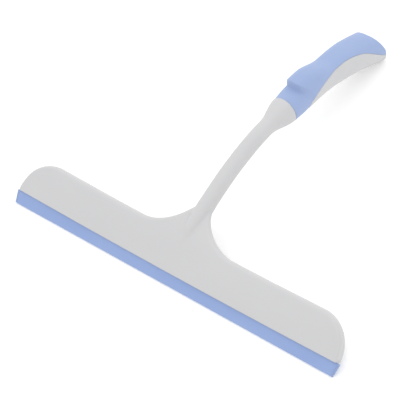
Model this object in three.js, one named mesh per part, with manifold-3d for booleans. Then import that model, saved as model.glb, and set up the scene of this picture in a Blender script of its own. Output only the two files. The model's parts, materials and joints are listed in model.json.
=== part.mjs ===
// Window cleaning squeegee: a wide grey head with a blue rubber blade, on a bowed handle with a soft grip.
// Millimetres. Every piece is drawn in the head's own frame, with X along the blade, +Z from the blade's
// tip up the head, and -Y out of the head's front face. The whole tool is then laid down, front face up, as
// it rests on a table: on the blade's tip and on the end of its bowed handle, with room for the hand below.

import * as THREE from "three";
import { mergeVertices } from "three/addons/utils/BufferGeometryUtils.js";
import Module from "manifold-3d";

const wasm = await Module();
wasm.setup();

// ---- driving dimensions ----

const GAP = 0.3; // clearance between pieces that touch
const MARGIN = 1; // a shape that cuts or joins another reaches past its surface by this
const FAR = 200; // past every side of the head

// Head, seen from the front
const HALF_WIDTH = 147.6; // at its widest
const END_HALF_WIDTH = 147.4; // at the lower edge
const CORNER_RADIUS = 25; // upper corners
const CORNER_HEIGHT = 12.6; // centres of the corner arcs
const RIM_HEIGHT = CORNER_HEIGHT + CORNER_RADIUS;
const RIM_SAG = 1.1; // the rim is that much lower at mid width
const LOWER_EDGE = 8.9; // at mid width
const LOWER_EDGE_RISE = 1.1; // the lower edge is that much higher at the ends
const WEB_FOOT = 42; // half width of the webs where they leave the rim
const WEB_TOP = 62; // height at which the webs die into the neck
const WEB_OVERLAP = 6; // the webs are rooted in the head by this
const WEB_SWEEP = [27, 11.6]; // half widths of the points that shape their curved edge
const WEB_SWEEP_HEIGHT = 47; // height of the second of them

// Head, seen from the side
const FRONT_AT_EDGE = -2.8; // front face at the lower edge
const FRONT_LEAN = 13.4; // the front face falls back by this much up to the webs' top
const FRONT_CURVE = 2.8; // and its lean grows with this power of the height
const BACK_AT_EDGE = 4.8;
const BACK_LEAN = 13;
const BACK_CURVE = 6;
const FRONT_WALL = 2;
const SIDE_WALL = 2.2;
const COVER_THICKNESS = 2.2;
const JAW_TOP = 17; // the rear cover is thicker below this, as the back jaw of the blade's slot
const FACET = 3; // height of one facet of the head's curved faces

// Blade
const BLADE_HALF_WIDTH = 149.6;
const TIP_INSET = 1.4; // the tip is shorter at both ends
const SEAT_HALF_WIDTH = END_HALF_WIDTH - SIDE_WALL; // of the slot in which the blade is held
const ROOT_HALF = 1; // half thickness of the strip in the head
const TIP_HALF = 0.6; // and at the wiping edge
const ROOT_BOTTOM = 8.4;
const BEAD_HALF = 1.6; // bead along the strip's top
const BEAD_BOTTOM = 12.5;
const BEAD_TOP = 15.5;
const BEAD_CHAMFER = 0.6;
const FLEX_HEIGHT = ROOT_BOTTOM - GAP - ROOT_HALF; // line about which the lip bends

// Screws of the rear cover
const SCREW_PLACES = [-120, -42, 42, 120];
const SCREW_HEIGHT = 24;
const BOSS_RADIUS = 3.2;
const BOSS_CLEARANCE = 0.7; // below the sloping cover
const SHANK_RADIUS = 1.1;
const SHANK_TIP = 0.7; // y of the screw's tip
const POINT_LENGTH = 1.2;
const SCREW_HEAD_RADIUS = 2.3;
const SCREW_HEAD_DEPTH = 0.9;
const SCREW_CHAMFER = 0.4;
const DRIVE_WIDTH = 0.6; // cross recess
const DRIVE_LENGTH = 2.6;
const DRIVE_DEPTH = 0.5;
const SCREW_SIDES = 16;

// Neck and handle: middle line in the plane x = 0 as (y, z), and places along it
const MIDDLE_LINE = [
  [3.4, 33],
  [5.2, 43],
  [7.2, 51],
  [10.8, 60.5],
  [23.4, 89.1],
  [40.7, 116.8],
  [60.4, 138.3],
  [78.6, 158.5],
  [101.7, 177.1],
  [118.4, 187.8],
  [144.5, 201.2],
];
const BAR_SIDES = 24;
const NECK_RADIUS = 6.2;
const FOOT_WIDTH = 4.4; // the neck's foot is a ridge on the head's front face, of this half width
const FOOT_RISE = 4.7; // and this half depth
const FOOT_END = 13; // and it has grown to the whole neck by here
const FLARE_START = 101.5; // the neck widens to its cup from here
const CUP_MOUTH = 123.4;
const FLARE_WIDER = 4.8;
const FLARE_DEEPER = 3.9;
const THUMB_STEP = 135.5; // the thumb rest starts with a step
const STEP_LENGTH = 1.6;
const REST_END = 147; // it slopes down from here
const WAIST = 172; // and has sunk into the grip by here
const PALM_START = 158; // the grip grows from here
const PALM = 200; // to its full size here
const GRIP_WIDTH = 10.9; // half width of the grip where it starts
const GRIP_AHEAD = 9.3; // its depth ahead of the middle line
const GRIP_BEHIND = 10.8; // and behind it
const REST_WIDER = 0.5;
const REST_HEIGHT = 5.9;
const PALM_WIDER = 2.1;
const PALM_AHEAD = 2.2;
const PALM_BEHIND = 0.3;
const ROUND = 2; // exponent of a round section
const BOXY = 2.5; // exponent of the grip's squarer section
const CAP_LENGTH = 3;
const CAP_FLATNESS = 0.86; // width of the end's flat, in parts of the grip's width
const CAP_FALL = 2.2; // exponent of the end's rounding
const CAP_SLANT = 0.86; // the top of the end stops short by this much for each unit of height
const SLANT_START = 198;
const HEEL_SLANT = 0.4; // part of that slant which is left below the middle line
const HEEL_BOXIER = 1.3; // added to the boxiness there, for a square heel
const TANG_ROOT = 118.5;
const TANG_END = 170;
const TANG_RADIUS = 5;
const COVER_SKIN = 2; // thickness of the soft grip
const BELLY_EDGE = [
  // edge between the blue cover and the grey belly: place along the handle, height off the middle line
  [136.5, -14],
  [140.8, -3.5],
  [149, 1],
  [156, 3.6],
  [163, 5.3],
  [174, 6.9],
  [186, 7.7],
  [200, 6.2],
  [212.5, 1.7],
  [223, -2.5],
  [242, -8],
];
const BELLY_DEPTH = 20; // below the grip's underside
const LAND_DEPTH = 0.5; // small flat under the handle's end, on which the tool rests

// ---- materials ----

const plastic = (color, roughness) => new THREE.MeshStandardMaterial({ color, roughness, metalness: 0 });
const GREY = plastic(0xd8d8da, 0.45);
const RUBBER = plastic(0x93a9d6, 0.6);
const SOFT_GRIP = plastic(0xa6b8dc, 0.8);
const STEEL = new THREE.MeshStandardMaterial({ color: 0x9a9a98, roughness: 0.3, metalness: 1 });

// ---- helpers ----

const point = (a, b) => new THREE.Vector2(a, b);
const lerp = THREE.MathUtils.lerp;
const smooth = THREE.MathUtils.smoothstep;

// A closed three.js geometry as a solid that can be joined and cut.
function solid(geometry) {
  geometry.deleteAttribute("normal");
  geometry.deleteAttribute("uv");
  const merged = mergeVertices(geometry, 1e-4);
  return new wasm.Manifold(
    new wasm.Mesh({
      numProp: 3,
      vertProperties: new Float32Array(merged.attributes.position.array),
      triVerts: new Uint32Array(merged.index.array),
    }),
  );
}

// A solid as a named mesh.
function piece(name, shape, material) {
  const { vertProperties, triVerts } = shape.getMesh();
  const geometry = new THREE.BufferGeometry();
  geometry.setAttribute("position", new THREE.BufferAttribute(vertProperties, 3));
  geometry.setIndex(new THREE.BufferAttribute(triVerts, 1));
  geometry.computeVertexNormals();
  const mesh = new THREE.Mesh(geometry, material);
  mesh.name = name;
  return mesh;
}

// An outline extruded along one axis: first and second are the directions of the outline's own two axes.
function extruded(outline, first, second, depth) {
  const geometry = new THREE.ExtrudeGeometry(new THREE.Shape(outline), { depth, bevelEnabled: false });
  const third = first.clone().cross(second);
  return geometry.applyMatrix4(new THREE.Matrix4().makeBasis(first, second, third));
}

const X = new THREE.Vector3(1, 0, 0);
const Y = new THREE.Vector3(0, 1, 0);
const Z = new THREE.Vector3(0, 0, 1);

// An outline of (y, z) points, extruded along X.
const alongX = (outline, from, to) => solid(extruded(outline, Y, Z, to - from).translate(from, 0, 0));

// An outline of (x, z) points, extruded along Y.
const alongY = (outline, from, to) => solid(extruded(outline, X, Z, to - from).translate(0, to, 0));

// A whole outline from its right half, which runs from the bottom centre up to the top centre.
function mirrored(half) {
  const left = half.filter((p) => p.x > 1e-6).map((p) => point(-p.x, p.y));
  return [...half, ...left.reverse()];
}

const evenly = (from, to, steps) => Array.from({ length: steps + 1 }, (_, i) => lerp(from, to, i / steps));

// Points of a face's side profile, from one height to another.
const profile = (face, from, to) =>
  evenly(from, to, Math.ceil((to - from) / FACET)).map((z) => point(face(z), z));

// ---- head ----

const rise = (z) => Math.max(0, (z - LOWER_EDGE) / (WEB_TOP - LOWER_EDGE));
const frontFace = (z) => FRONT_AT_EDGE + FRONT_LEAN * rise(z) ** FRONT_CURVE;
const backFace = (z) => BACK_AT_EDGE + BACK_LEAN * rise(z) ** BACK_CURVE;

// Front view of the head without its webs, smaller all round by an inset.
function headOutline(inset, lowerEdge) {
  const half = new THREE.Path();
  half.moveTo(0, lowerEdge);
  half.quadraticCurveTo(HALF_WIDTH / 2, lowerEdge, END_HALF_WIDTH - inset, lowerEdge + LOWER_EDGE_RISE);
  half.absarc(HALF_WIDTH - CORNER_RADIUS, CORNER_HEIGHT, CORNER_RADIUS - inset, 0, Math.PI / 2, false);
  const rim = RIM_HEIGHT - inset - RIM_SAG;
  half.quadraticCurveTo(HALF_WIDTH / 2, rim, 0, rim);
  return mirrored(half.getPoints(10));
}

// Front view of the two webs that sweep from the rim up to the neck.
function webOutline() {
  const half = new THREE.Path();
  const rim = RIM_HEIGHT - RIM_SAG;
  half.moveTo(0, RIM_HEIGHT - WEB_OVERLAP);
  half.lineTo(WEB_FOOT, RIM_HEIGHT - WEB_OVERLAP);
  half.lineTo(WEB_FOOT, rim);
  half.bezierCurveTo(WEB_SWEEP[0], rim, WEB_SWEEP[1], WEB_SWEEP_HEIGHT, NECK_RADIUS - MARGIN, WEB_TOP);
  half.lineTo(0, WEB_TOP);
  return mirrored(half.getPoints(8));
}

// Everything inside a front view.
const through = (outline) => alongY(outline, -FAR, FAR);

// Everything between two side profiles of the head.
const between = (front, back, from, to) =>
  alongX([...profile(back, from, to), ...profile(front, from, to).reverse()], -FAR, FAR);

// ---- neck and handle ----

const middleLine = new THREE.CatmullRomCurve3(MIDDLE_LINE.map(([y, z]) => new THREE.Vector3(0, y, z)));
middleLine.arcLengthDivisions = 400;
const HANDLE_END = middleLine.getLength();
const CAP_START = HANDLE_END - CAP_LENGTH;

// The point of the side view that stands off the middle line by a height (forward, to the grip's convex
// side, when it is positive), as (y, z). The line runs on straight past the handle's end. A slant sets the
// point back along the line by that much for each unit of height.
function offLine(place, height, slant = 0) {
  const u = Math.min(1, place / HANDLE_END);
  const along = middleLine.getTangentAt(u);
  const ahead = X.clone().cross(along);
  const beyond = Math.max(0, place - HANDLE_END) - slant * height;
  const at = middleLine.getPointAt(u).addScaledVector(ahead, height).addScaledVector(along, beyond);
  return point(at.y, at.z);
}

// Places that crowd towards the last one, for a round end.
const crowding = (from, to, steps) =>
  evenly(0, Math.PI / 2, steps).map((angle) => lerp(from, to, Math.sin(angle)));

// A bar through the given places along the middle line: a lathe-turned bar whose sections are set across
// the line. size(place) gives its half width, and its half depths ahead of the line and behind it. A
// boxiness over that of a round section makes it squarer, and heel, from 0 to 1, gives it a slanting end.
function bar(places, size) {
  const turned = [point(0, places[0]), ...places.map((place) => point(1, place)), point(0, places.at(-1))];
  const geometry = new THREE.LatheGeometry(turned, BAR_SIDES);
  const vertices = geometry.attributes.position;
  for (let i = 0; i < vertices.count; i++) {
    const { width, ahead, behind, boxiness = ROUND, heel = 0 } = size(vertices.getY(i));
    const [across, depth] = [vertices.getX(i), vertices.getZ(i)];
    const onAxis = Math.hypot(across, depth) < 0.5;
    const power = boxiness + (depth > 0 ? 0 : HEEL_BOXIER * heel);
    const norm = (Math.abs(across) ** power + Math.abs(depth) ** power) ** (1 / power);
    const reach = onAxis ? 0 : 1 / norm;
    const slant = CAP_SLANT * heel * (depth > 0 ? 1 : HEEL_SLANT);
    const at = offLine(vertices.getY(i), reach * depth * (depth > 0 ? ahead : behind), slant);
    vertices.setXYZ(i, reach * across * width, at.x, at.y);
  }
  return solid(geometry);
}

const rod = (from, to, radius) =>
  bar(evenly(from, to, 9), () => ({ width: radius, ahead: radius, behind: radius }));

// Neck: its foot rises out of the head's front face as a ridge, and its top flares to the cup.
function neckSize(place) {
  const foot = smooth(place, 0, FOOT_END);
  const flare = smooth(place, FLARE_START, CUP_MOUTH);
  return {
    width: lerp(FOOT_WIDTH, NECK_RADIUS, foot) + FLARE_WIDER * flare,
    ahead: lerp(FOOT_RISE, NECK_RADIUS, foot) + FLARE_DEEPER * flare,
    behind: NECK_RADIUS + FLARE_DEEPER * flare,
  };
}

function neck() {
  const cup = evenly(FLARE_START, CUP_MOUTH, 6).slice(1);
  return bar([...evenly(0, FLARE_START, 20), ...cup], neckSize);
}

// Grip, smaller all round by an inset: a thumb rest behind a step, a waist, a fuller palm and a blunt end.
function gripSize(place, inset) {
  const palm = smooth(place, PALM_START, PALM);
  const rest = smooth(place, THUMB_STEP, THUMB_STEP + STEP_LENGTH) * (1 - smooth(place, REST_END, WAIST));
  const end = Math.max(0, (place - CAP_START) / (HANDLE_END - inset - CAP_START));
  const cap = Math.sqrt(1 - (1 - CAP_FLATNESS ** 2) * end ** CAP_FALL);
  return {
    width: (GRIP_WIDTH + REST_WIDER * rest + PALM_WIDER * palm - inset) * cap,
    ahead: (GRIP_AHEAD + REST_HEIGHT * rest + PALM_AHEAD * palm - inset) * cap,
    behind: (GRIP_BEHIND + PALM_BEHIND * palm - inset) * cap,
    boxiness: lerp(ROUND, BOXY, smooth(place, CUP_MOUTH, THUMB_STEP)),
    heel: smooth(place, SLANT_START, HANDLE_END),
  };
}

function gripBar(inset) {
  const places = evenly(CUP_MOUTH + GAP, CAP_START, 22);
  const cap = crowding(CAP_START, HANDLE_END - inset, 6).slice(1);
  return bar([...places, ...cap], (place) => gripSize(place, inset));
}

// The grey belly in the side view: everything behind a curve that starts on the grip's underside, rises past
// its middle line and runs on beyond the handle's end. It is drawn lower by an inset.
function belly(inset) {
  const edge = new THREE.SplineCurve(BELLY_EDGE.map(([place, height]) => point(place, height - inset)));
  const upper = edge.getPoints(40).map((p) => offLine(p.x, p.y));
  const under = BELLY_EDGE.map(([place]) => offLine(place, -BELLY_DEPTH));
  return alongX([...under, ...upper.reverse()], -FAR, FAR);
}

// ---- pieces ----

// Side view of the blade's strip in the head, or of its slot when it is grown by a gap.
function rootProfile(gap, bottom) {
  const right = [
    point(ROOT_HALF + gap, bottom),
    point(ROOT_HALF + gap, BEAD_BOTTOM - gap),
    point(BEAD_HALF + gap, BEAD_BOTTOM + BEAD_CHAMFER - gap),
    point(BEAD_HALF + gap, BEAD_TOP + gap),
  ];
  return [...right, ...right.map((p) => point(-p.x, p.y)).reverse()];
}

const slot = () => alongX(rootProfile(GAP, LOWER_EDGE - MARGIN), -SEAT_HALF_WIDTH, SEAT_HALF_WIDTH);

// A cylinder across the head's faces at a screw's place, from one y to another.
function crossways(radius, from, to, x) {
  const geometry = new THREE.CylinderGeometry(radius, radius, to - from, SCREW_SIDES);
  return solid(geometry.translate(x, (from + to) / 2, SCREW_HEIGHT));
}

const BACK_AT_SCREW = backFace(SCREW_HEIGHT);
const SCREW_SEAT = BACK_AT_SCREW - SCREW_HEAD_DEPTH - GAP; // under the screw's head

function headBody() {
  const plan = through(headOutline(0, LOWER_EDGE)).add(through(webOutline()));
  const shell = between(frontFace, backFace, LOWER_EDGE - MARGIN, WEB_TOP + MARGIN).intersect(plan);
  const inside = (z) => frontFace(z) + FRONT_WALL;
  const hollow = between(inside, () => FAR, LOWER_EDGE - MARGIN, RIM_HEIGHT + MARGIN);
  const pocket = hollow.intersect(through(headOutline(SIDE_WALL, LOWER_EDGE - MARGIN)));
  let body = shell.add(neck()).subtract(pocket).add(rod(TANG_ROOT, TANG_END, TANG_RADIUS));
  const bossEnd = BACK_AT_SCREW - COVER_THICKNESS - BOSS_CLEARANCE;
  for (const x of SCREW_PLACES) {
    body = body
      .add(crossways(BOSS_RADIUS, inside(SCREW_HEIGHT) - MARGIN, bossEnd, x))
      .subtract(crossways(SHANK_RADIUS + GAP, SHANK_TIP - GAP, FAR, x));
  }
  return body.subtract(slot());
}

function rearCover() {
  const inside = (z) => backFace(z) - COVER_THICKNESS;
  const lid = between(inside, backFace, LOWER_EDGE - MARGIN, RIM_HEIGHT + MARGIN);
  const jaw = between(() => ROOT_HALF + GAP, backFace, LOWER_EDGE - MARGIN, JAW_TOP);
  let cover = lid.add(jaw).intersect(through(headOutline(SIDE_WALL + GAP, LOWER_EDGE)));
  for (const x of SCREW_PLACES) {
    cover = cover
      .subtract(crossways(SHANK_RADIUS + GAP, 0, FAR, x))
      .subtract(crossways(SCREW_HEAD_RADIUS + GAP, SCREW_SEAT, FAR, x));
  }
  return cover.subtract(slot());
}

// Self-tapping screw with a flat head and a cross recess, its head towards +Y.
function coverScrew(x) {
  const top = BACK_AT_SCREW - GAP / 2;
  const outline = [
    point(0, SHANK_TIP),
    point(SHANK_RADIUS, SHANK_TIP + POINT_LENGTH),
    point(SHANK_RADIUS, top - SCREW_HEAD_DEPTH),
    point(SCREW_HEAD_RADIUS, top - SCREW_HEAD_DEPTH),
    point(SCREW_HEAD_RADIUS, top - SCREW_CHAMFER),
    point(SCREW_HEAD_RADIUS - SCREW_CHAMFER, top),
    point(0, top),
  ];
  const screw = solid(new THREE.LatheGeometry(outline, SCREW_SIDES).translate(x, 0, SCREW_HEIGHT));
  const recess = (dx, dz) =>
    solid(new THREE.BoxGeometry(dx, 2 * DRIVE_DEPTH, dz).translate(x, top, SCREW_HEIGHT));
  return screw.subtract(recess(DRIVE_LENGTH, DRIVE_WIDTH)).subtract(recess(DRIVE_WIDTH, DRIVE_LENGTH));
}

// The fixed part of the blade: as wide as the lip up to the head's lower edge, and narrower in its slot.
function bladeRoot() {
  const shoulder = LOWER_EDGE + LOWER_EDGE_RISE - GAP;
  const half = [
    point(0, ROOT_BOTTOM),
    point(BLADE_HALF_WIDTH, ROOT_BOTTOM),
    point(BLADE_HALF_WIDTH, shoulder),
    point(SEAT_HALF_WIDTH - GAP, shoulder),
    point(SEAT_HALF_WIDTH - GAP, BEAD_TOP + MARGIN),
    point(0, BEAD_TOP + MARGIN),
  ];
  return alongX(rootProfile(0, ROOT_BOTTOM), -FAR, FAR).intersect(through(mirrored(half)));
}

// The free lip: its top is round about the flex line, so that it turns clear of the root.
function bladeLip() {
  const top = new THREE.Path();
  top.absarc(0, FLEX_HEIGHT, ROOT_HALF, 0, Math.PI, false);
  const outline = [point(TIP_HALF, 0), ...top.getPoints(6), point(-TIP_HALF, 0)];
  const tip = BLADE_HALF_WIDTH - TIP_INSET;
  const front = [
    point(-tip, 0),
    point(tip, 0),
    point(BLADE_HALF_WIDTH, ROOT_BOTTOM),
    point(-BLADE_HALF_WIDTH, ROOT_BOTTOM),
  ];
  return alongX(outline, -FAR, FAR).intersect(through(front));
}

// How far the table on which the tool rests leans from the head's +Z: the table passes through the back
// corner of the blade's tip and just inside the handle's end.
function tableLean(shape) {
  const { vertProperties } = shape.getMesh();
  let widest = { lean: 0, reach: 1 };
  for (let i = 0; i < vertProperties.length; i += 3) {
    const y = vertProperties[i + 1] - TIP_HALF;
    const z = vertProperties[i + 2];
    const lean = Math.atan2(y, z);
    if (lean > widest.lean) widest = { lean, reach: Math.hypot(y, z) };
  }
  return widest.lean - LAND_DEPTH / widest.reach;
}

const LEAN = tableLean(gripBar(0));

// Everything below the table.
function underTable() {
  const at = (reach, depth) =>
    point(
      TIP_HALF + reach * Math.sin(LEAN) + depth * Math.cos(LEAN),
      reach * Math.cos(LEAN) - depth * Math.sin(LEAN),
    );
  return alongX([at(0, 0), at(0, FAR), at(2 * FAR, FAR), at(2 * FAR, 0)], -FAR, FAR);
}

function handleCore() {
  const covered = gripBar(COVER_SKIN);
  const shown = gripBar(0).intersect(belly(GAP));
  const bore = rod(CUP_MOUTH - MARGIN, TANG_END + GAP, TANG_RADIUS + GAP);
  return covered.add(shown).subtract(bore).subtract(underTable());
}

const gripCover = () => gripBar(0).subtract(gripBar(COVER_SKIN - GAP)).subtract(belly(0));

// ---- the squeegee ----

const parts = [
  piece("head_body", headBody(), GREY),
  piece("rear_cover", rearCover(), GREY),
  ...SCREW_PLACES.map((x, i) => piece(`cover_screw_${i + 1}`, coverScrew(x), STEEL)),
  piece("blade_root", bladeRoot(), RUBBER),
  piece("blade_lip", bladeLip(), RUBBER),
  piece("handle_core", handleCore(), GREY),
  piece("grip_cover", gripCover(), SOFT_GRIP),
];

const squeegee = new THREE.Group();
squeegee.add(...parts);
squeegee.rotation.x = LEAN - Math.PI / 2;
const box = new THREE.Box3().setFromObject(squeegee, true);
squeegee.position.set(0, -(box.min.y + box.max.y) / 2, -box.min.z);

export default squeegee;
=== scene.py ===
"""Window cleaning squeegee: its visual model and a plain studio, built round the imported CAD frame.

The mouldings are drawn as fields: a function gives a point's rough distance from the skin in
millimetres, negative inside, and the surface where it is zero becomes a fine mesh. Fields and outlines
are in the head's own frame, as in the CAD source: X along the blade, +Z from the blade's tip up the
head, and -Y out of the head's front face.
"""

import json
import math

import bmesh
import bpy
import numpy as np
import openvdb
from mathutils import Matrix, Vector


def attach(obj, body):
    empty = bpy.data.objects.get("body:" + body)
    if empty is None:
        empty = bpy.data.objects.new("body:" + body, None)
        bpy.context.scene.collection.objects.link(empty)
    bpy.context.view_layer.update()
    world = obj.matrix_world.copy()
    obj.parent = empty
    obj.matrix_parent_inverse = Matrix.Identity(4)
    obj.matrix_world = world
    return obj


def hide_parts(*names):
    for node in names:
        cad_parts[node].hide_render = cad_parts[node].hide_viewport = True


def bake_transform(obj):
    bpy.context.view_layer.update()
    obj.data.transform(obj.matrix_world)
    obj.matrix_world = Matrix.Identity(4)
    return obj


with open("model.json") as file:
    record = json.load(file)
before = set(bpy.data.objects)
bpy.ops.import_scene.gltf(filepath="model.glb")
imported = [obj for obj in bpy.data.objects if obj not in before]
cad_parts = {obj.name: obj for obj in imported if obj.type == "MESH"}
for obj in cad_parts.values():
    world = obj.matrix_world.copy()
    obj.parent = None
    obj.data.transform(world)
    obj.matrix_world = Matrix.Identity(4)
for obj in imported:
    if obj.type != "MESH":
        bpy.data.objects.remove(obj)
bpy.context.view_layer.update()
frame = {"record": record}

MM = 0.001
BODY = "squeegee"


# ---- the head's frame, from the mount on the blade's wiping edge ----

def head_frame():
    """The matrix that takes the head's frame, in millimetres, to the row's frame, in metres."""
    mount = next(m for m in frame["record"]["mounts"] if m["name"] == "wiping_edge")
    up = -Vector(mount["axis"]).normalized()
    across = Vector((1, 0, 0))
    back = up.cross(across)
    turn = Matrix((across, back, up)).transposed().to_4x4()
    return Matrix.Translation(mount["pos_m"]) @ turn @ Matrix.Scale(MM, 4)


HEAD = head_frame()


# ---- dimensions in millimetres, as in the CAD source ----

GAP = 0.3  # clearance between separate pieces
MARGIN = 1  # by which one shape runs on into another

HALF_WIDTH = 147.6
CORNER_RADIUS = 25
CORNER_HEIGHT = 12.6
RIM_HEIGHT = CORNER_HEIGHT + CORNER_RADIUS
RIM_SAG = 1.1
LOWER_EDGE = 8.9
LOWER_EDGE_RISE = 1.1
WEB_FOOT = 42
WEB_TOP = 62
WEB_SWEEP = [27, 11.6]
WEB_SWEEP_HEIGHT = 47

FRONT_AT_EDGE = -2.8
FRONT_LEAN = 13.4
FRONT_CURVE = 2.8
BACK_AT_EDGE = 4.8
BACK_LEAN = 13
BACK_CURVE = 6
FRONT_WALL = 2
SIDE_WALL = 2.2
COVER_THICKNESS = 2.2
JAW_TOP = 17

BLADE_HALF_WIDTH = 149.6
TIP_INSET = 1.4
SEAT_HALF_WIDTH = 145.2
ROOT_HALF = 1
TIP_HALF = 0.6
ROOT_BOTTOM = 8.4
SHOULDER = 9.7
BEAD_HALF = 1.6
BEAD_BOTTOM = 12.5
BEAD_TOP = 15.5
BEAD_CHAMFER = 0.6

OUTER_SCREW = 120
INNER_SCREW = 42
SCREW_PLACES = [-OUTER_SCREW, -INNER_SCREW, INNER_SCREW, OUTER_SCREW]
SCREW_HEIGHT = 24
BOSS_RADIUS = 3.2
BOSS_CLEARANCE = 0.7
SHANK_RADIUS = 1.1
SHANK_TIP = 0.7
POINT_LENGTH = 1.2
SCREW_HEAD_RADIUS = 2.3
SCREW_HEAD_DEPTH = 0.9
DRIVE_HALF_WIDTH = 0.3
DRIVE_HALF_LENGTH = 1.3
DRIVE_DEPTH = 0.5

MIDDLE_LINE = [
    (3.4, 33), (5.2, 43), (7.2, 51), (10.8, 60.5), (23.4, 89.1), (40.7, 116.8),
    (60.4, 138.3), (78.6, 158.5), (101.7, 177.1), (118.4, 187.8), (144.5, 201.2),
]
NECK_RADIUS = 6.2
FLARE_START = 101.5
CUP_MOUTH = 123.4
FLARE_WIDER = 4.8
FLARE_DEEPER = 3.9
THUMB_STEP = 135.5
STEP_LENGTH = 1.6
REST_END = 147
WAIST = 172
PALM_START = 158
PALM = 200
GRIP_WIDTH = 10.9
GRIP_AHEAD = 9.3
GRIP_BEHIND = 10.8
REST_WIDER = 0.5
REST_HEIGHT = 5.9
PALM_WIDER = 2.1
PALM_AHEAD = 2.2
PALM_BEHIND = 0.3
ROUND = 2
BOXY = 2.5
CAP_LENGTH = 3
CAP_FLATNESS = 0.86
CAP_FALL = 2.2
CAP_SLANT = 0.86
HEEL_SLANT = 0.4
HEEL_BOXIER = 1.3
SLANT_START = 198
TANG_END = 170
TANG_RADIUS = 5
COVER_SKIN = 2
BELLY_EDGE = [
    (136.5, -14), (140.8, -3.5), (149, 1), (156, 3.6), (163, 5.3), (174, 6.9),
    (186, 7.7), (200, 6.2), (212.5, 1.7), (223, -2.5), (242, -8),
]

# Finer shape that only the visual model has
RIM_ROUND = 2.2  # radius of the head's front edge along its rim
LIP_ROUND = 0.4  # and along the blade
RIM_ROUND_GROWS = (10.9, 20.9)  # the heights between which one becomes the other
BACK_ROUND = 0.9
WEB_BACK_ROUND = 2.6  # at the webs' top
EDGE_ROUND = 0.2  # of small hidden edges
POCKET_ROUND = 0.5
PANEL_ROUND = 0.5
JAW_ROUND = 0.35
TANG_ROUND = 1
TANG_START = CUP_MOUTH - 4  # inside the cup
FOOT_START = -1.5  # the neck's foot, on the middle line
FOOT_END = 12
FOOT_WIDTH = 5
FOOT_RISE = 4.8
FOOT_ROUND = 2
NECK_FILLET = 0.8
SEAM_ROUND = 0.22
SEAM_GAP = 0.06
SLOT_GAP = 0.12
SEAM_BOW = 1.2  # the cup's mouth runs on by this much at its front and back
CAP_ROUND = 1.5
STEP_SWEEP = 6  # the thumb rest's step runs back by this much towards its sides
SKIN_GAP = 0.06  # between the moulded-on cover and the core
STRIP_SEAT = SEAT_HALF_WIDTH - GAP  # half length of the blade's strip inside its slot
STRIP_ROWS = 24
STRIP_COLUMNS = 200
STRIP_BEVEL = 0.12
THREAD_PITCH = 0.9
THREAD_DEPTH = 0.25
PAN_ROUND = 0.5
RECESS_ROUND = 0.1
PAST_MIDDLE = -60  # half outlines run on to here, past the mirror plane, where they bound nothing

# Cells of the meshes, and boxes that hold the pieces (lowest and highest corner)
HEAD_CELL = 0.68
PANEL_CELL = 0.5
COVER_CELL = 0.38
CORE_CELL = 0.42
SCREW_CELL = 0.11
HEAD_BOX = ((-149, -5, 7), (149, 16, 64))
NECK_BOX = ((-13, -6, 28), (13, 93, 170))
PANEL_BOX = ((-147, 0, 7), (147, 8, 38))
GRIP_BOX = ((-15, 40, 115), (15, 165, 215))
SCREW_BOX = ((-3, 0, -3), (3, 6, 3))

# The view in the head's frame: how far the camera stands to the right of and above straight in front
VIEW_SIDE = math.radians(32)
VIEW_RISE = math.radians(9.495)
VIEW_ROLL = math.radians(21.426)
VIEW_AIM = (23.765, 59.437, 1500)  # right, up and towards the camera from the blade's tip
LENS = 193.04

# Studio
SKY = 0.98
LAMP_DISTANCE = 1.6
KEY_DIRECTION = (-0.25, -0.5, 0.85)  # in the head's frame
KEY_SIZE = 2.4
KEY_POWER = 7.5
# the floor's own glow: painted light that lightens the tool's shadow and its undersides
FLOOR_GLOW = 0.18
FLOOR_HALF = 6
FLOOR_DROP = 0.0002


# ---- fields ----

def both(a, b, r):
    """What lies inside two fields, with the edge between them rounded to radius r."""
    rounded = np.hypot(np.maximum(a + r, 0), np.maximum(b + r, 0))
    return np.minimum(np.maximum(a, b), -r) + rounded


def either(a, b, r):
    """What lies inside one of two fields, with a fillet of radius r between them."""
    return -both(-a, -b, r)


def smooth(x, low, high):
    """0 up to low and 1 from high, with an even curve between."""
    t = np.clip((x - low) / (high - low), 0, 1)
    return t * t * (3 - 2 * t)


def lerp(a, b, t):
    return a + (b - a) * t


def outline_distance(outline, a, b):
    """Signed distance from a closed outline in the plane of a and b, negative inside."""
    a, b = np.broadcast_arrays(a, b)
    nearest = np.full(a.shape, np.inf)
    inside = np.zeros(a.shape, bool)
    for (a0, b0), (a1, b1) in zip(outline, [*outline[1:], outline[0]]):
        da, db = a1 - a0, b1 - b0
        t = np.clip(((a - a0) * da + (b - b0) * db) / (da * da + db * db), 0, 1)
        nearest = np.minimum(nearest, (a - a0 - t * da) ** 2 + (b - b0 - t * db) ** 2)
        if db:
            inside ^= ((b0 <= b) != (b1 <= b)) & (a < a0 + (b - b0) * da / db)
    return np.where(inside, -1, 1) * np.sqrt(nearest)


def curve_through(points, per_span=16):
    """Points of a smooth curve through the given ones (a centripetal Catmull-Rom spline)."""
    p = np.array(points, float)
    p = np.vstack([2 * p[0] - p[1], p, 2 * p[-1] - p[-2]])
    curve = []
    for a, b, c, d in zip(p, p[1:], p[2:], p[3:]):
        ab, bc, cd = (math.sqrt(math.dist(*ends)) for ends in ((a, b), (b, c), (c, d)))
        start = ((b - a) / ab - (c - a) / (ab + bc) + (c - b) / bc) * bc
        end = ((c - b) / bc - (d - b) / (bc + cd) + (d - c) / cd) * bc
        for t in np.arange(per_span) / per_span:
            curve.append(
                (2 * t**3 - 3 * t**2 + 1) * b + (t**3 - 2 * t**2 + t) * start
                + (3 * t**2 - 2 * t**3) * c + (t**3 - t**2) * end
            )
    return np.array([*curve, p[-2]])


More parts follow.
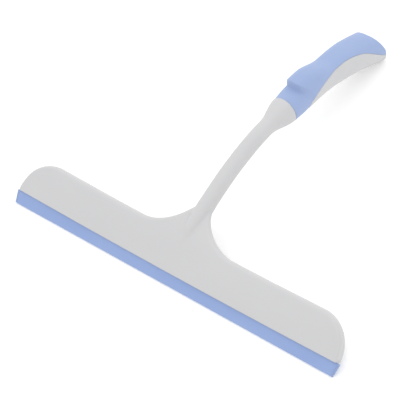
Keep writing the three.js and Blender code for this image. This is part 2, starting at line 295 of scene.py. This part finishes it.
def bezier(points, steps):
    """Points of a quadratic or cubic Bezier curve, its first one left out."""
    degree = len(points) - 1
    curve = []
    for t in (i / steps for i in range(1, steps + 1)):
        share = [math.comb(degree, i) * t**i * (1 - t) ** (degree - i) for i in range(degree + 1)]
        curve.append(tuple(np.array(share) @ np.array(points, float)))
    return curve


# ---- surfaces from fields ----

def mesh_from(name, field, boxes, cell):
    """The skin of a field inside some boxes, as a mesh in the row's frame."""
    grid = openvdb.FloatGrid(3 * cell)
    for low, high in boxes:
        first = [math.floor(v / cell) for v in low]
        last = [math.ceil(v / cell) for v in high]
        axes = [cell * np.arange(i, j + 1) for i, j in zip(first, last)]
        values = field(*np.meshgrid(*axes, indexing="ij", sparse=True))
        values = np.clip(values, -3 * cell, 3 * cell).astype(np.float32)
        grid.copyFromArray(np.ascontiguousarray(values), ijk=tuple(first))
    points, quads = grid.convertToQuads(0.0)
    points = settle(points.astype(float) * cell, field, cell)
    mesh = bpy.data.meshes.new(name)
    mesh.from_pydata(points.tolist(), [], quads.tolist())
    mesh.transform(HEAD)
    mesh.shade_smooth()
    return mesh


def settle(points, field, cell):
    """Points near a field's skin, moved onto it."""
    nudge = 0.02
    least_slope = 0.05
    for _ in range(2):
        value = field(*points.T)
        slope = [(field(*(points + step).T) - value) / nudge for step in np.eye(3) * nudge]
        slope = np.stack(slope, axis=1)
        length = np.maximum((slope**2).sum(axis=1, keepdims=True), least_slope)
        points = points - np.clip(value[:, None] * slope / length, -cell, cell)
    return points


# ---- the head's faces and outlines ----

def rise(z):
    return np.maximum(0, (z - LOWER_EDGE) / (WEB_TOP - LOWER_EDGE))


def front_face(z):
    return FRONT_AT_EDGE + FRONT_LEAN * rise(z) ** FRONT_CURVE


def back_face(z):
    return BACK_AT_EDGE + BACK_LEAN * rise(z) ** BACK_CURVE


def behind(face, y, z):
    """Distance behind one of the head's faces."""
    step = 0.5
    slope = (face(z + step) - face(z - step)) / (2 * step)
    return (y - face(z)) / np.sqrt(1 + slope**2)


def lower_edge(x):
    return LOWER_EDGE + LOWER_EDGE_RISE * (x / HALF_WIDTH) ** 2


def half_outline(foot):
    """Right half of the head's front view: its lower edge, from past the middle, and its corner."""
    corner = [
        (
            HALF_WIDTH + CORNER_RADIUS * (math.cos(turn) - 1),
            CORNER_HEIGHT + CORNER_RADIUS * math.sin(turn),
        )
        for turn in (math.pi / 2 * i / 28 for i in range(29))
    ]
    side = [(x, foot(x)) for x in (PAST_MIDDLE, *range(0, 121, 30), HALF_WIDTH)]
    return side, corner


def head_outline():
    """The head and its webs."""
    side, corner = half_outline(lower_edge)
    rim = RIM_HEIGHT - RIM_SAG
    top = bezier([corner[-1], (HALF_WIDTH / 2, rim), (WEB_FOOT, rim)], 12)
    sweep = [(WEB_SWEEP[0], rim), (WEB_SWEEP[1], WEB_SWEEP_HEIGHT)]
    web = bezier([(WEB_FOOT, rim), *sweep, (NECK_RADIUS - MARGIN, WEB_TOP)], 28)
    return [*side, *corner, *top, *web, (PAST_MIDDLE, WEB_TOP)]


def pocket_outline():
    """The head without its webs, and open along the blade."""
    side, corner = half_outline(lambda x: 0)
    rim = RIM_HEIGHT - RIM_SAG
    top = bezier([corner[-1], (HALF_WIDTH / 2, rim), (0, rim)], 12)
    return [*side, *corner, *top, (PAST_MIDDLE, rim)]


HEAD_OUTLINE = head_outline()
POCKET_OUTLINE = pocket_outline()


def blade_slot(x, y, z):
    """The blade's strip with its bead, and a little room round it."""
    right = [
        (ROOT_HALF + SLOT_GAP, 0),
        (ROOT_HALF + SLOT_GAP, BEAD_BOTTOM - SLOT_GAP),
        (BEAD_HALF + SLOT_GAP, BEAD_BOTTOM + BEAD_CHAMFER - SLOT_GAP),
        (BEAD_HALF + SLOT_GAP, BEAD_TOP + SLOT_GAP),
        (PAST_MIDDLE, BEAD_TOP + SLOT_GAP),
        (PAST_MIDDLE, 0),
    ]
    return np.maximum(outline_distance(right, np.abs(y), z), np.abs(x) - SEAT_HALF_WIDTH)


def from_screw(x, z):
    """Distance from the axis of the nearest of the four screws."""
    nearest = np.abs(np.abs(x) - (OUTER_SCREW + INNER_SCREW) / 2) - (OUTER_SCREW - INNER_SCREW) / 2
    return np.hypot(nearest, z - SCREW_HEIGHT)


# ---- the neck and the handle ----

def arc_lengths(curve):
    return np.concatenate([[0], np.cumsum(np.hypot(*np.diff(curve, axis=0).T))])


def handle_line():
    """Place, y, z and direction along the middle line, which runs on straight past both its ends."""
    curve = curve_through(MIDDLE_LINE, 40)
    beyond = 40
    first, last = curve[1] - curve[0], curve[-1] - curve[-2]
    start = curve[0] - first / np.hypot(*first) * beyond
    end = curve[-1] + last / np.hypot(*last) * beyond
    curve = np.vstack([start, curve, end])
    place = arc_lengths(curve) - beyond
    along = np.gradient(curve, place, axis=0)
    return place, curve, along / np.hypot(*along.T)[:, None]


PLACES, LINE, ALONG = handle_line()
HANDLE_END = PLACES[-2]


def off_line(y, z):
    """Place along the middle line and height off it, which is positive on the front side."""
    place = np.interp(z, LINE[:, 1], PLACES)
    for _ in range(10):
        at_y, at_z = np.interp(place, PLACES, LINE[:, 0]), np.interp(place, PLACES, LINE[:, 1])
        along_y, along_z = np.interp(place, PLACES, ALONG[:, 0]), np.interp(place, PLACES, ALONG[:, 1])
        place = place + (y - at_y) * along_y + (z - at_z) * along_z
    return place, (z - at_z) * along_y - (y - at_y) * along_z


def bar(x, height, width, ahead, rear, boxiness=ROUND):
    """A bar along the middle line, of a half width and two half depths. Boxiness makes it squarer."""
    depth = np.where(height > 0, ahead, rear)
    reach = (np.abs(x / width) ** boxiness + np.abs(height / depth) ** boxiness) ** (1 / boxiness)
    return (reach - 1) * width


def neck(x, place, height):
    """From its foot, a ridge on the head's front, up to the mouth of the cup."""
    foot = smooth(place, FOOT_START, FOOT_END)
    flare = smooth(place, FLARE_START, CUP_MOUTH)
    tube = bar(
        x,
        height,
        lerp(FOOT_WIDTH, NECK_RADIUS, foot) + FLARE_WIDER * flare,
        lerp(FOOT_RISE, NECK_RADIUS, foot) + FLARE_DEEPER * flare,
        NECK_RADIUS + FLARE_DEEPER * flare,
    )
    cut = both(tube, place - mouth(x), SEAM_ROUND)
    return both(cut, FOOT_START - place, FOOT_ROUND)


def mouth(x):
    """Place of the seam between the cup and the grip."""
    return CUP_MOUTH + SEAM_BOW * (0.5 - (x / GRIP_WIDTH) ** 2)


def grip(x, place, height):
    """The whole grip: a thumb rest behind a step, a waist, a fuller palm and a blunt, slanting end."""
    across = place
    lean = CAP_SLANT * np.where(height > 0, height, HEEL_SLANT * height)
    for _ in range(3):
        across = place + lean * smooth(across, SLANT_START, HANDLE_END)
    palm = smooth(across, PALM_START, PALM)
    step = THUMB_STEP + STEP_SWEEP * (x / GRIP_WIDTH) ** 4
    rest = smooth(across, step, step + STEP_LENGTH) * (1 - smooth(across, REST_END, WAIST))
    end = np.clip((across - HANDLE_END) / CAP_LENGTH + 1, 0, 1)
    cap = np.sqrt(1 - (1 - CAP_FLATNESS**2) * end**CAP_FALL)
    boxiness = lerp(ROUND, BOXY, smooth(across, CUP_MOUTH, THUMB_STEP))
    heel = smooth(across, SLANT_START, HANDLE_END) * (height < 0)
    side = bar(
        x,
        height,
        (GRIP_WIDTH + REST_WIDER * rest + PALM_WIDER * palm) * cap,
        (GRIP_AHEAD + REST_HEIGHT * rest + PALM_AHEAD * palm) * cap,
        (GRIP_BEHIND + PALM_BEHIND * palm) * cap,
        boxiness + HEEL_BOXIER * heel,
    )
    return both(side, across - HANDLE_END, CAP_ROUND)


BELLY = curve_through(BELLY_EDGE)


def over_belly(place, height):
    """Distance above the edge between the blue cover and the grey belly."""
    edge = np.interp(place, BELLY[:, 0], BELLY[:, 1])
    slope = np.interp(place, BELLY[:, 0], np.gradient(BELLY[:, 1], BELLY[:, 0]))
    return (height - edge) / np.sqrt(1 + slope**2)


# ---- the pieces' fields ----

def head_field(x, y, z):
    """Head, webs, neck, cup and the tang inside the grip, hollow behind the front wall."""
    plan = outline_distance(HEAD_OUTLINE, np.abs(x), z)
    front_round = lerp(LIP_ROUND, RIM_ROUND, smooth(z, *RIM_ROUND_GROWS))
    shell = both(plan, -behind(front_face, y, z), front_round)
    back_round = lerp(BACK_ROUND, WEB_BACK_ROUND, smooth(z, WEB_SWEEP_HEIGHT, WEB_TOP))
    shell = both(shell, behind(back_face, y, z), back_round)
    place, height = off_line(y, z)
    body = either(shell, neck(x, place, height), NECK_FILLET)
    pocket = outline_distance(POCKET_OUTLINE, np.abs(x), z) + SIDE_WALL
    inside = FRONT_WALL - behind(front_face, y, z)
    body = both(body, -both(pocket, inside, POCKET_ROUND), 2 * EDGE_ROUND)
    off_screw = from_screw(x, z)
    boss_end = back_face(SCREW_HEIGHT) - COVER_THICKNESS - BOSS_CLEARANCE
    boss = both(off_screw - BOSS_RADIUS, y - boss_end, EDGE_ROUND)
    boss = np.maximum(boss, front_face(SCREW_HEIGHT) + FRONT_WALL / 2 - y)
    body = either(body, boss, 2 * EDGE_ROUND)
    bore = np.maximum(off_screw - SHANK_RADIUS - GAP, SHANK_TIP - GAP - y)
    body = np.maximum(body, -bore)
    tang = np.hypot(x, height) - TANG_RADIUS
    tang = both(np.maximum(tang, TANG_START - place), place - TANG_END, TANG_ROUND)
    body = np.minimum(body, tang)
    return np.maximum(body, -blade_slot(x, y, z))


def panel_field(x, y, z):
    """The rear cover, with the back jaw of the blade's slot and its screw holes."""
    plan = outline_distance(POCKET_OUTLINE, np.abs(x), z) + SIDE_WALL + GAP
    plan = both(plan, lower_edge(x) - z, EDGE_ROUND)
    thickness = lerp(BACK_AT_EDGE - ROOT_HALF - GAP, COVER_THICKNESS, smooth(z, JAW_TOP - 1, JAW_TOP))
    panel = both(plan, behind(back_face, y, z), PANEL_ROUND)
    panel = both(panel, back_face(z) - thickness - y, EDGE_ROUND)
    hole = from_screw(x, z)
    seat = back_face(SCREW_HEIGHT) - SCREW_HEAD_DEPTH - GAP
    sunk = np.maximum(hole - SCREW_HEAD_RADIUS - GAP, seat - y)
    panel = both(panel, -sunk, EDGE_ROUND)
    panel = np.maximum(panel, SHANK_RADIUS + GAP - hole)
    return both(panel, -blade_slot(x, y, z), JAW_ROUND)


def cover_field(x, y, z):
    """The soft cover: a skin on the grip, above the belly's edge."""
    place, height = off_line(y, z)
    outside = grip(x, place, height)
    skin = both(outside, -(outside + COVER_SKIN), SEAM_ROUND)
    skin = both(skin, mouth(x) + SEAM_GAP - place, SEAM_ROUND)
    return both(skin, -over_belly(place, height), SEAM_ROUND)


def core_field(x, y, z):
    """The hard core under the cover, with the belly that shows, bored for the tang."""
    place, height = off_line(y, z)
    outside = grip(x, place, height)
    belly = both(outside, over_belly(place, height) + SKIN_GAP, SEAM_ROUND)
    core = np.minimum(outside + COVER_SKIN + SKIN_GAP, belly)
    core = both(core, mouth(x) + SEAM_GAP - place, SEAM_ROUND)
    bore = np.maximum(np.hypot(x, height) - TANG_RADIUS - GAP, place - TANG_END - GAP)
    table = TABLE[0] * y + TABLE[1] * z + TABLE[2]
    return np.maximum(np.maximum(core, -bore), -table)


def table_height():
    """Factors of y and z, and a constant, that give a point's height over the table in millimetres."""
    up = HEAD.to_3x3().row[2] / MM
    return up[1], up[2], HEAD.translation.z / MM


TABLE = table_height()


def strip_section():
    """Half thickness, height and half length of the blade strip, from its wiping edge upwards."""
    tip = BLADE_HALF_WIDTH - TIP_INSET
    taper = [
        (lerp(TIP_HALF, ROOT_HALF, t), lerp(0, ROOT_BOTTOM, t), lerp(tip, BLADE_HALF_WIDTH, t))
        for t in np.linspace(0, 1, STRIP_ROWS + 1)
    ]
    bead = [
        (ROOT_HALF, BEAD_BOTTOM, STRIP_SEAT),
        (BEAD_HALF, BEAD_BOTTOM + BEAD_CHAMFER, STRIP_SEAT),
        (BEAD_HALF, BEAD_TOP - BEAD_CHAMFER, STRIP_SEAT),
        (BEAD_HALF - BEAD_CHAMFER, BEAD_TOP, STRIP_SEAT),
    ]
    return [*taper, (ROOT_HALF, SHOULDER, BLADE_HALF_WIDTH), *bead]


def strip_places(reach):
    """Places of one row's points along the blade. The outermost two are only on rows below the slot."""
    inner = np.linspace(-STRIP_SEAT, STRIP_SEAT, STRIP_COLUMNS + 1)
    return [-reach, *inner, reach] if reach > STRIP_SEAT else inner


def add_strip_faces(build, front, back):
    """The strip's faces, from its rows of points on the front and the back."""
    for i in range(len(front[0]) - 1):
        build.faces.new((back[0][i], back[0][i + 1], front[0][i + 1], front[0][i]))
    for i in range(len(front[-1]) - 1):
        build.faces.new((front[-1][i], front[-1][i + 1], back[-1][i + 1], back[-1][i]))
    for fore, fore_above, rear, rear_above in zip(front, front[1:], back, back[1:]):
        if len(fore) > len(fore_above):
            for a, b in ((0, 1), (-2, -1)):
                build.faces.new((fore[a], fore[b], rear[b], rear[a]))
            fore, rear = fore[1:-1], rear[1:-1]
        for i in range(len(fore) - 1):
            build.faces.new((fore[i], fore[i + 1], fore_above[i + 1], fore_above[i]))
            build.faces.new((rear_above[i], rear_above[i + 1], rear[i + 1], rear[i]))
        build.faces.new((rear[0], fore[0], fore_above[0], rear_above[0]))
        build.faces.new((fore[-1], rear[-1], rear_above[-1], fore_above[-1]))


def blade_strip():
    """One strip of rubber from its wiping edge to its bead in the head, with close rows up its taper."""
    build = bmesh.new()
    section = strip_section()
    front = [[build.verts.new((x, -y, z)) for x in strip_places(reach)] for y, z, reach in section]
    back = [[build.verts.new((x, y, z)) for x in strip_places(reach)] for y, z, reach in section]
    add_strip_faces(build, front, back)
    sharp = [e for e in build.edges if e.calc_face_angle(0) > math.radians(30)]
    bmesh.ops.bevel(build, geom=sharp, offset=STRIP_BEVEL, segments=2, profile=0.5, affect="EDGES")
    build.transform(HEAD)
    mesh = bpy.data.meshes.new("blade_strip")
    build.to_mesh(mesh)
    build.free()
    mesh.shade_smooth()
    return mesh


def screw_field(x, y, z):
    """A pan-head screw with a cross recess, along Y at the origin of x and z."""
    across = np.hypot(x, z)
    top = back_face(SCREW_HEIGHT) - GAP / 2
    turn = y / THREAD_PITCH - np.arctan2(z, x) / (2 * np.pi)
    crest = np.abs(2 * (turn - np.floor(turn)) - 1)
    shank = np.maximum(across - SHANK_RADIUS + THREAD_DEPTH * crest, SHANK_TIP - y)
    point = across - SHANK_RADIUS * (y - SHANK_TIP) / POINT_LENGTH
    shank = np.maximum(shank, point / math.sqrt(2))
    shank = np.maximum(shank, y - top + SCREW_HEAD_DEPTH / 2)
    pan = both(across - SCREW_HEAD_RADIUS, y - top, PAN_ROUND)
    pan = both(pan, top - SCREW_HEAD_DEPTH - y, RECESS_ROUND)
    long, wide = np.maximum(np.abs(x), np.abs(z)), np.minimum(np.abs(x), np.abs(z))
    cross = both(wide - DRIVE_HALF_WIDTH, long - DRIVE_HALF_LENGTH, RECESS_ROUND)
    recess = np.maximum(cross, top - DRIVE_DEPTH - y)
    return both(np.minimum(shank, pan), -recess, RECESS_ROUND)


# ---- materials ----

class Nodes:
    """A new material's nodes, with the shader and object coordinates made."""

    def __init__(self, name):
        self.material = bpy.data.materials.new(name)
        self.material.use_nodes = True
        self.tree = self.material.node_tree
        self.shader = self.tree.nodes["Principled BSDF"]
        self.place = self.add("ShaderNodeTexCoord").outputs["Object"]

    def add(self, kind, values=(), **settings):
        node = self.tree.nodes.new(kind)
        for key, value in settings.items():
            setattr(node, key, value)
        for key, value in dict(values).items():
            if isinstance(value, bpy.types.NodeSocket):
                self.tree.links.new(value, node.inputs[key])
            else:
                node.inputs[key].default_value = value
        return node

    def set(self, **values):
        for key, value in values.items():
            name = key.replace("_", " ")
            if isinstance(value, bpy.types.NodeSocket):
                self.tree.links.new(value, self.shader.inputs[name])
            else:
                self.shader.inputs[name].default_value = value

    def stretched(self, scale):
        """Object coordinates scaled by different amounts along X, Y and Z."""
        return self.add("ShaderNodeMapping", {"Vector": self.place, "Scale": scale}).outputs["Vector"]

    def noise(self, size, vector=None, detail=2.0):
        """Noise from 0 to 1 whose lumps are about this many millimetres across."""
        values = {"Vector": vector or self.place, "Scale": 1 / (size * MM), "Detail": detail}
        return self.add("ShaderNodeTexNoise", values).outputs["Fac"]

    def between(self, fac, low, high):
        """A number from low to high, as noise goes over most of its range."""
        values = {"Value": fac, "From Min": 0.3, "From Max": 0.7, "To Min": low, "To Max": high}
        return self.add("ShaderNodeMapRange", values).outputs["Result"]

    def tint(self, fac, low, high):
        ramp = self.add("ShaderNodeValToRGB", {"Fac": fac})
        ramp.color_ramp.elements[0].position = 0.3
        ramp.color_ramp.elements[0].color = (*low, 1)
        ramp.color_ramp.elements[1].position = 0.7
        ramp.color_ramp.elements[1].color = (*high, 1)
        return ramp.outputs["Color"]

    def bump(self, height, depth, below=None):
        """Bumps this many millimetres deep, over other bumps if there are any."""
        values = {"Height": height, "Distance": depth * MM, "Strength": 1.0}
        if below:
            values["Normal"] = below
        return self.add("ShaderNodeBump", values).outputs["Normal"]


def grey_plastic():
    """Pale grey moulded plastic with a fine satin grain and faint flow marks."""
    n = Nodes("grey_plastic")
    flow = n.noise(38, n.stretched((0.4, 1, 1)), 3)
    grain = n.noise(0.45, detail=3)
    handling = n.noise(9, detail=4)
    n.set(Base_Color=n.tint(flow, (0.572, 0.573, 0.582), (0.592, 0.593, 0.600)))
    n.set(Roughness=n.between(handling, 0.4, 0.52))
    n.set(Normal=n.bump(grain, 0.012, n.bump(flow, 0.05)))
    n.set(IOR=1.49, Specular_IOR_Level=0.45)
    return n.material


def blade_rubber():
    """Blue rubber with the fine streaks of its extrusion along the blade."""
    n = Nodes("blade_rubber")
    streaks = n.noise(0.5, n.stretched((0.02, 1, 1)), 3)
    clouds = n.noise(14, n.stretched((0.3, 1, 1)), 3)
    n.set(Base_Color=n.tint(clouds, (0.272, 0.374, 0.655), (0.292, 0.397, 0.677)))
    n.set(Roughness=n.between(streaks, 0.42, 0.56))
    n.set(Normal=n.bump(streaks, 0.02))
    n.set(IOR=1.52, Specular_IOR_Level=0.4)
    return n.material


def grip_rubber():
    """Soft light blue rubber, moulded with a dull, slightly powdery skin."""
    n = Nodes("grip_rubber")
    clouds = n.noise(16, detail=3)
    grain = n.noise(0.32, detail=2)
    n.set(Base_Color=n.tint(clouds, (0.313, 0.405, 0.640), (0.330, 0.422, 0.657)))
    n.set(Roughness=n.between(n.noise(5, detail=4), 0.62, 0.74))
    n.set(Normal=n.bump(grain, 0.016))
    n.set(IOR=1.48, Specular_IOR_Level=0.3)
    n.set(Sheen_Weight=0.15, Sheen_Roughness=0.5)
    return n.material


def screw_steel():
    """Bright steel with fine turning marks round the screw."""
    n = Nodes("screw_steel")
    marks = n.noise(0.12, n.stretched((1, 1, 0.2)), 3)
    n.set(Base_Color=n.tint(n.noise(1.5, detail=3), (0.52, 0.52, 0.53), (0.62, 0.62, 0.63)))
    n.set(Roughness=n.between(marks, 0.24, 0.4))
    n.set(Normal=n.bump(marks, 0.006))
    n.set(Metallic=1.0, Anisotropic=0.3)
    return n.material


def glowing_floor():
    """A smooth white table that glows evenly: painted light that lightens the tool's shadow on it and
    lights the tool from below.
    """
    n = Nodes("glowing_floor")
    n.set(Base_Color=n.tint(n.noise(120), (0.88, 0.88, 0.88), (0.9, 0.9, 0.9)))
    n.set(Roughness=n.between(n.noise(30), 0.7, 0.8))
    # the emission is painted light, not a lamp: it washes out the shadow under the tool
    n.set(Specular_IOR_Level=0.1, Emission_Color=(1, 1, 1, 1), Emission_Strength=FLOOR_GLOW)
    return n.material


# ---- the pieces ----

def piece(name, mesh, nodes, slot):
    """A finished piece that stands for some CAD nodes, in its slot's material."""
    made = bpy.data.objects.new(name, mesh)
    bpy.context.scene.collection.objects.link(made)
    mesh.materials.append(MATERIALS[slot])
    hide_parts(*nodes)
    return made


def moulding(name, field, boxes, cell, node, slot):
    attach(piece(name, mesh_from(name, field, boxes, cell), [node], slot), BODY)


def build_mouldings():
    moulding("head_shell", head_field, [HEAD_BOX, NECK_BOX], HEAD_CELL, "head_body", "grey_plastic")
    moulding("back_panel", panel_field, [PANEL_BOX], PANEL_CELL, "rear_cover", "grey_plastic")
    moulding("soft_grip", cover_field, [GRIP_BOX], COVER_CELL, "grip_cover", "grip_rubber")
    moulding("grip_core", core_field, [GRIP_BOX], CORE_CELL, "handle_core", "grey_plastic")


def build_screws():
    for i, x in enumerate(SCREW_PLACES, 1):
        mesh = mesh_from(f"screw_{i}", screw_field, [SCREW_BOX], SCREW_CELL)
        shift = HEAD @ Matrix.Translation((x, 0, SCREW_HEIGHT)) @ HEAD.inverted()
        mesh.transform(shift)
        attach(piece(f"screw_{i}", mesh, [f"cover_screw_{i}"], "screw_steel"), BODY)


def build_blade():
    strip = piece("blade_strip", blade_strip(), ["blade_root", "blade_lip"], "blade_rubber")
    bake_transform(strip)


MATERIALS = {
    "grey_plastic": grey_plastic(),
    "blade_rubber": blade_rubber(),
    "grip_rubber": grip_rubber(),
    "screw_steel": screw_steel(),
}
build_mouldings()
build_screws()
build_blade()


# ---- studio ----

def in_view():
    """The camera's axes in the row's frame: right, up and towards the camera."""
    side, rise = math.sin(VIEW_SIDE), math.sin(VIEW_RISE)
    toward = Vector((side, -math.sqrt(1 - side**2 - rise**2), rise))
    right = Vector((0, 0, 1)).cross(toward).normalized()
    turn = Matrix((right, toward.cross(right), toward)).transposed() @ Matrix.Rotation(VIEW_ROLL, 3, "Z")
    return HEAD.to_3x3().normalized() @ turn


def place_camera():
    scene = bpy.context.scene
    camera = bpy.data.objects.new("camera", bpy.data.cameras.new("camera"))
    scene.collection.objects.link(camera)
    turn = in_view()
    camera.matrix_world = Matrix.Translation(HEAD.translation) @ turn.to_4x4()
    camera.location += turn @ Vector(VIEW_AIM) * MM
    camera.data.lens = LENS
    camera.data.clip_end = 20
    scene.camera = camera


def soft_light(name, direction, size, power):
    """A large round lamp that shines on the tool from a direction given in the head's frame."""
    lamp = bpy.data.lights.new(name, "AREA")
    lamp.shape = "DISK"
    lamp.size = size
    lamp.energy = power
    holder = bpy.data.objects.new(name, lamp)
    bpy.context.scene.collection.objects.link(holder)
    away = (HEAD.to_3x3() @ Vector(direction)).normalized()
    holder.location = away * LAMP_DISTANCE
    holder.rotation_euler = away.to_track_quat("Z", "Y").to_euler()


def build_studio():
    floor = bpy.data.meshes.new("floor")
    build = bmesh.new()
    bmesh.ops.create_grid(build, x_segments=8, y_segments=8, size=FLOOR_HALF)
    bmesh.ops.translate(build, verts=build.verts, vec=(0, 0, -FLOOR_DROP))
    build.to_mesh(floor)
    build.free()
    floor.materials.append(glowing_floor())
    ground = bpy.data.objects.new("floor", floor)
    bpy.context.scene.collection.objects.link(ground)
    world = bpy.data.worlds.new("studio")
    bpy.context.scene.world = world
    world.use_nodes = True
    sky = world.node_tree.nodes["Background"]
    sky.inputs["Color"].default_value = (1, 1, 1, 1)
    sky.inputs["Strength"].default_value = SKY
    soft_light("key", KEY_DIRECTION, KEY_SIZE, KEY_POWER)
    bpy.context.scene.view_settings.view_transform = "Standard"


place_camera()
build_studio()
